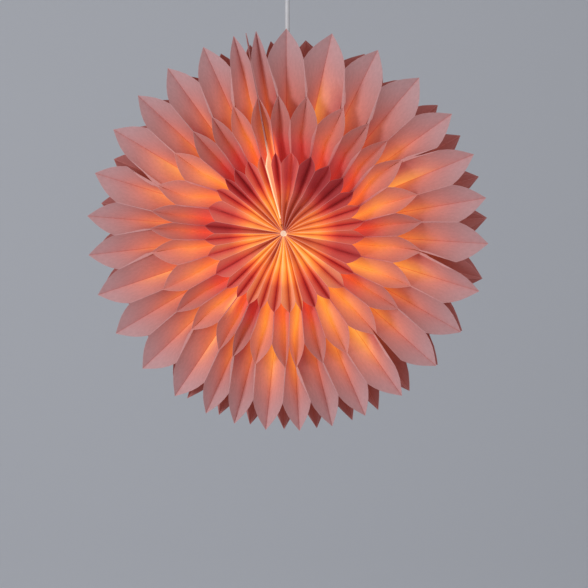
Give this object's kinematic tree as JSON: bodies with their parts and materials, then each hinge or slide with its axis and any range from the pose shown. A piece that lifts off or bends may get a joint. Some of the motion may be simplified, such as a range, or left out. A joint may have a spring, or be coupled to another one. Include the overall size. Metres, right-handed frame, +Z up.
{
  "type": "paper snowflake star",
  "caption": "Round many-petalled honeycomb star of dusty pink paper, lit from inside by a small bulb and hung on a pale pendant cord from a ceiling cup.",
  "frame": {"origin": "middle of the ceiling plate's top face, where it meets the ceiling", "axes": "+Z up out of the ceiling plate, -Y the way the star faces, +X to the right as seen from its front"},
  "size_m": [0.5189, 0.168, 0.6218],
  "materials": {
    "pink_paper": "matt translucent dyed paper",
    "card": "matt",
    "pale_paper": "matt",
    "pad": "hook and loop dots",
    "thread": "waxed cotton thread",
    "cord_sleeve": "smooth flex sheath",
    "white_plastic": "moulded, satin",
    "ceramic": "unglazed",
    "brass": "plain",
    "nickel": "nickel plated",
    "bulb_plastic": "satin",
    "led_board": "solder mask, with LED chips",
    "opal": "opal white",
    "plate_steel": "zinc plated",
    "terminal_plastic": "plain"
  },
  "bodies": {
    "pendant": {"ceiling_plate": "plate_steel", "cord_anchor": "white_plastic", "anchor_screw": "nickel", "terminal_block": "terminal_plastic", "terminal_screws": "brass", "cord": "cord_sleeve", "strain_relief": "white_plastic", "holder_cap": "white_plastic", "holder_body": "white_plastic", "contact_carrier": "ceramic", "screw_shell": "brass", "centre_contact": "brass"},
    "cup": {"ceiling_cup": "white_plastic", "cup_grip": "white_plastic", "grip_screw": "nickel"},
    "bulb_contact": {"bulb_tip": "brass"},
    "bulb": {"bulb_screw_base": "nickel", "bulb_collar": "bulb_plastic", "bulb_led_board": "led_board", "bulb_globe": "opal"},
    "star": {"petal_01": "pink_paper", "front_binding": "thread", "back_binding": "thread", "hub_button": "pale_paper"},
    "petal_02": {"petal_02": "pink_paper"},
    "petal_03": {"petal_03": "pink_paper"},
    "petal_04": {"petal_04": "pink_paper"},
    "petal_05": {"petal_05": "pink_paper"},
    "petal_06": {"petal_06": "pink_paper"},
    "petal_07": {"petal_07": "pink_paper"},
    "petal_08": {"petal_08": "pink_paper"},
    "petal_09": {"petal_09": "pink_paper"},
    "petal_10": {"petal_10": "pink_paper"},
    "petal_11": {"petal_11": "pink_paper"},
    "petal_12": {"petal_12": "pink_paper"},
    "petal_13": {"petal_13": "pink_paper"},
    "petal_14": {"petal_14": "pink_paper"},
    "petal_15": {"petal_15": "pink_paper"},
    "petal_16": {"petal_16": "pink_paper"},
    "petal_17": {"petal_17": "pink_paper"},
    "petal_18": {"petal_18": "pink_paper"},
    "petal_19": {"petal_19": "pink_paper"},
    "petal_20": {"petal_20": "pink_paper"},
    "petal_21": {"petal_21": "pink_paper"},
    "petal_22": {"petal_22": "pink_paper"},
    "petal_23": {"petal_23": "pink_paper"},
    "petal_24": {"petal_24": "pink_paper"},
    "petal_25": {"petal_25": "pink_paper"},
    "petal_26": {"petal_26": "pink_paper"},
    "petal_27": {"petal_27": "pink_paper"},
    "petal_28": {"petal_28": "pink_paper"},
    "petal_29": {"petal_29": "pink_paper"},
    "petal_30": {"petal_30": "pink_paper"},
    "petal_31": {"petal_31": "pink_paper"},
    "seam_left": {"end_board_left": "card", "closing_pads_left": "pad"},
    "seam_right": {"end_board_right": "card", "closing_pads_right": "pad"}
  },
  "joints": [
    {"name": "cup_slide", "type": "slide", "parent": "pendant", "child": "cup", "axis": [0, 0, -1], "range_m": [0, 0.05]},
    {"name": "bulb_travel", "type": "slide", "parent": "pendant", "child": "bulb_contact", "axis": [0, 0, -1], "range_m": [0, 0.0128]},
    {"name": "bulb_turn", "type": "hinge", "parent": "bulb_contact", "child": "bulb", "pos_m": [0, 0, -0.34978], "axis": [0, 0, -1], "range_deg": [0, 1620]},
    {"name": "star_turn", "type": "hinge", "parent": "pendant", "child": "star", "pos_m": [0, 0, -0.3], "axis": [0, 0, 1], "continuous": true},
    {"name": "fold_02", "type": "hinge", "parent": "star", "child": "petal_02", "pos_m": [0.00042, -0.012, -0.35602], "axis": [0, -1, 0], "range_deg": [0, 7], "deforming": ["petal_01", "petal_02"]},
    {"name": "fold_03", "type": "hinge", "parent": "petal_02", "child": "petal_03", "pos_m": [0.00137, -0.012, -0.35624], "axis": [0, -1, 0], "range_deg": [0, 13.75], "deforming": ["petal_02", "petal_03"]},
    {"name": "fold_04", "type": "hinge", "parent": "petal_03", "child": "petal_04", "pos_m": [0.00221, -0.012, -0.35666], "axis": [0, -1, 0], "range_deg": [0, 14], "deforming": ["petal_03", "petal_04"]},
    {"name": "fold_05", "type": "hinge", "parent": "petal_04", "child": "petal_05", "pos_m": [0.00297, -0.012, -0.35732], "axis": [0, -1, 0], "range_deg": [0, 13.75], "deforming": ["petal_04", "petal_05"]},
    {"name": "fold_06", "type": "hinge", "parent": "petal_05", "child": "petal_06", "pos_m": [0.0035, -0.012, -0.35806], "axis": [0, -1, 0], "range_deg": [0, 13], "deforming": ["petal_05", "petal_06"]},
    {"name": "fold_07", "type": "hinge", "parent": "petal_06", "child": "petal_07", "pos_m": [0.00384, -0.012, -0.3589], "axis": [0, -1, 0], "range_deg": [0, 12.75], "deforming": ["petal_06", "petal_07"]},
    {"name": "fold_08", "type": "hinge", "parent": "petal_07", "child": "petal_08", "pos_m": [0.00399, -0.012, -0.35976], "axis": [0, -1, 0], "range_deg": [0, 13], "deforming": ["petal_07", "petal_08"]},
    {"name": "fold_09", "type": "hinge", "parent": "petal_08", "child": "petal_09", "pos_m": [0.00394, -0.012, -0.36069], "axis": [0, -1, 0], "range_deg": [0, 13.75], "deforming": ["petal_08", "petal_09"]},
    {"name": "fold_10", "type": "hinge", "parent": "petal_09", "child": "petal_10", "pos_m": [0.00365, -0.012, -0.36163], "axis": [0, -1, 0], "range_deg": [0, 12.75], "deforming": ["petal_09", "petal_10"]},
    {"name": "fold_11", "type": "hinge", "parent": "petal_10", "child": "petal_11", "pos_m": [0.00326, -0.012, -0.36232], "axis": [0, -1, 0], "range_deg": [0, 12], "deforming": ["petal_10", "petal_11"]},
    {"name": "fold_12", "type": "hinge", "parent": "petal_11", "child": "petal_12", "pos_m": [0.00268, -0.012, -0.36297], "axis": [0, -1, 0], "range_deg": [0, 13], "deforming": ["petal_11", "petal_12"]},
    {"name": "fold_13", "type": "hinge", "parent": "petal_12", "child": "petal_13", "pos_m": [0.00191, -0.012, -0.36351], "axis": [0, -1, 0], "range_deg": [0, 12], "deforming": ["petal_12", "petal_13"]},
    {"name": "fold_14", "type": "hinge", "parent": "petal_13", "child": "petal_14", "pos_m": [0.00124, -0.012, -0.3638], "axis": [0, -1, 0], "range_deg": [0, 10], "deforming": ["petal_13", "petal_14"]},
    {"name": "fold_15", "type": "hinge", "parent": "petal_14", "child": "petal_15", "pos_m": [0.00059, -0.012, -0.36396], "axis": [0, -1, 0], "range_deg": [0, 9.5], "deforming": ["petal_14", "petal_15"]},
    {"name": "fold_16", "type": "hinge", "parent": "petal_15", "child": "petal_16", "pos_m": [-0.00007, -0.012, -0.364], "axis": [0, -1, 0], "range_deg": [0, 9.75], "deforming": ["petal_15", "petal_16"]},
    {"name": "fold_17", "type": "hinge", "parent": "petal_16", "child": "petal_17", "pos_m": [-0.00076, -0.012, -0.36393], "axis": [0, -1, 0], "range_deg": [0, 9.25], "deforming": ["petal_16", "petal_17"]},
    {"name": "fold_18", "type": "hinge", "parent": "petal_17", "child": "petal_18", "pos_m": [-0.00134, -0.012, -0.36377], "axis": [0, -1, 0], "range_deg": [0, 8.75], "deforming": ["petal_17", "petal_18"]},
    {"name": "fold_19", "type": "hinge", "parent": "petal_18", "child": "petal_19", "pos_m": [-0.00191, -0.012, -0.36351], "axis": [0, -1, 0], "range_deg": [0, 10.25], "deforming": ["petal_18", "petal_19"]},
    {"name": "fold_20", "type": "hinge", "parent": "petal_19", "child": "petal_20", "pos_m": [-0.00257, -0.012, -0.36306], "axis": [0, -1, 0], "range_deg": [0, 12.25], "deforming": ["petal_19", "petal_20"]},
    {"name": "fold_21", "type": "hinge", "parent": "petal_20", "child": "petal_21", "pos_m": [-0.00319, -0.012, -0.36241], "axis": [0, -1, 0], "range_deg": [0, 12.75], "deforming": ["petal_20", "petal_21"]},
    {"name": "fold_22", "type": "hinge", "parent": "petal_21", "child": "petal_22", "pos_m": [-0.00364, -0.012, -0.36166], "axis": [0, -1, 0], "range_deg": [0, 12.25], "deforming": ["petal_21", "petal_22"]},
    {"name": "fold_23", "type": "hinge", "parent": "petal_22", "child": "petal_23", "pos_m": [-0.00391, -0.012, -0.36087], "axis": [0, -1, 0], "range_deg": [0, 11.75], "deforming": ["petal_22", "petal_23"]},
    {"name": "fold_24", "type": "hinge", "parent": "petal_23", "child": "petal_24", "pos_m": [-0.004, -0.012, -0.36007], "axis": [0, -1, 0], "range_deg": [0, 11.25], "deforming": ["petal_23", "petal_24"]},
    {"name": "fold_25", "type": "hinge", "parent": "petal_24", "child": "petal_25", "pos_m": [-0.00394, -0.012, -0.3593], "axis": [0, -1, 0], "range_deg": [0, 12.5], "deforming": ["petal_24", "petal_25"]},
    {"name": "fold_26", "type": "hinge", "parent": "petal_25", "child": "petal_26", "pos_m": [-0.00365, -0.012, -0.35837], "axis": [0, -1, 0], "range_deg": [0, 13.5], "deforming": ["petal_25", "petal_26"]},
    {"name": "fold_27", "type": "hinge", "parent": "petal_26", "child": "petal_27", "pos_m": [-0.00319, -0.012, -0.35759], "axis": [0, -1, 0], "range_deg": [0, 12], "deforming": ["petal_26", "petal_27"]},
    {"name": "fold_28", "type": "hinge", "parent": "petal_27", "child": "petal_28", "pos_m": [-0.00268, -0.012, -0.35703], "axis": [0, -1, 0], "range_deg": [0, 11.5], "deforming": ["petal_27", "petal_28"]},
    {"name": "fold_29", "type": "hinge", "parent": "petal_28", "child": "petal_29", "pos_m": [-0.002, -0.012, -0.35654], "axis": [0, -1, 0], "range_deg": [0, 11.75], "deforming": ["petal_28", "petal_29"]},
    {"name": "fold_30", "type": "hinge", "parent": "petal_29", "child": "petal_30", "pos_m": [-0.00127, -0.012, -0.35621], "axis": [0, -1, 0], "range_deg": [0, 9.25], "deforming": ["petal_29", "petal_30"]},
    {"name": "fold_seam_left", "type": "hinge", "parent": "petal_30", "child": "seam_left", "pos_m": [-0.0008, -0.012, -0.35608], "axis": [0, -1, 0], "range_deg": [0, 3.5], "deforming": ["petal_30"]},
    {"name": "fold_31", "type": "hinge", "parent": "star", "child": "petal_31", "pos_m": [-0.00042, -0.012, -0.35602], "axis": [0, 1, 0], "range_deg": [0, 2.75], "deforming": ["petal_01", "petal_31"]},
    {"name": "fold_seam_right", "type": "hinge", "parent": "petal_31", "child": "seam_right", "pos_m": [-0.0008, -0.012, -0.35608], "axis": [0, 1, 0], "range_deg": [0, 2.75], "deforming": ["petal_31"]}
  ],
  "couplings": [
    {"joint": "bulb_travel", "follows": "bulb_turn", "m_per_rad": 0.00044913},
    {"joint": "fold_03", "follows": "fold_02", "ratio": 1.9643},
    {"joint": "fold_04", "follows": "fold_02", "ratio": 2},
    {"joint": "fold_05", "follows": "fold_02", "ratio": 1.9643},
    {"joint": "fold_06", "follows": "fold_02", "ratio": 1.8571},
    {"joint": "fold_07", "follows": "fold_02", "ratio": 1.8214},
    {"joint": "fold_08", "follows": "fold_02", "ratio": 1.8571},
    {"joint": "fold_09", "follows": "fold_02", "ratio": 1.9643},
    {"joint": "fold_10", "follows": "fold_02", "ratio": 1.8214},
    {"joint": "fold_11", "follows": "fold_02", "ratio": 1.7143},
    {"joint": "fold_12", "follows": "fold_02", "ratio": 1.8571},
    {"joint": "fold_13", "follows": "fold_02", "ratio": 1.7143},
    {"joint": "fold_14", "follows": "fold_02", "ratio": 1.4286},
    {"joint": "fold_15", "follows": "fold_02", "ratio": 1.3571},
    {"joint": "fold_16", "follows": "fold_02", "ratio": 1.3929},
    {"joint": "fold_17", "follows": "fold_02", "ratio": 1.3214},
    {"joint": "fold_18", "follows": "fold_02", "ratio": 1.25},
    {"joint": "fold_19", "follows": "fold_02", "ratio": 1.4643},
    {"joint": "fold_20", "follows": "fold_02", "ratio": 1.75},
    {"joint": "fold_21", "follows": "fold_02", "ratio": 1.8214},
    {"joint": "fold_22", "follows": "fold_02", "ratio": 1.75},
    {"joint": "fold_23", "follows": "fold_02", "ratio": 1.6786},
    {"joint": "fold_24", "follows": "fold_02", "ratio": 1.6071},
    {"joint": "fold_25", "follows": "fold_02", "ratio": 1.7857},
    {"joint": "fold_26", "follows": "fold_02", "ratio": 1.9286},
    {"joint": "fold_27", "follows": "fold_02", "ratio": 1.7143},
    {"joint": "fold_28", "follows": "fold_02", "ratio": 1.6429},
    {"joint": "fold_29", "follows": "fold_02", "ratio": 1.6786},
    {"joint": "fold_30", "follows": "fold_02", "ratio": 1.3214},
    {"joint": "fold_seam_left", "follows": "fold_02", "ratio": 0.5},
    {"joint": "fold_31", "follows": "fold_02", "ratio": 0.39286},
    {"joint": "fold_seam_right", "follows": "fold_02", "ratio": 0.39286}
  ]
}
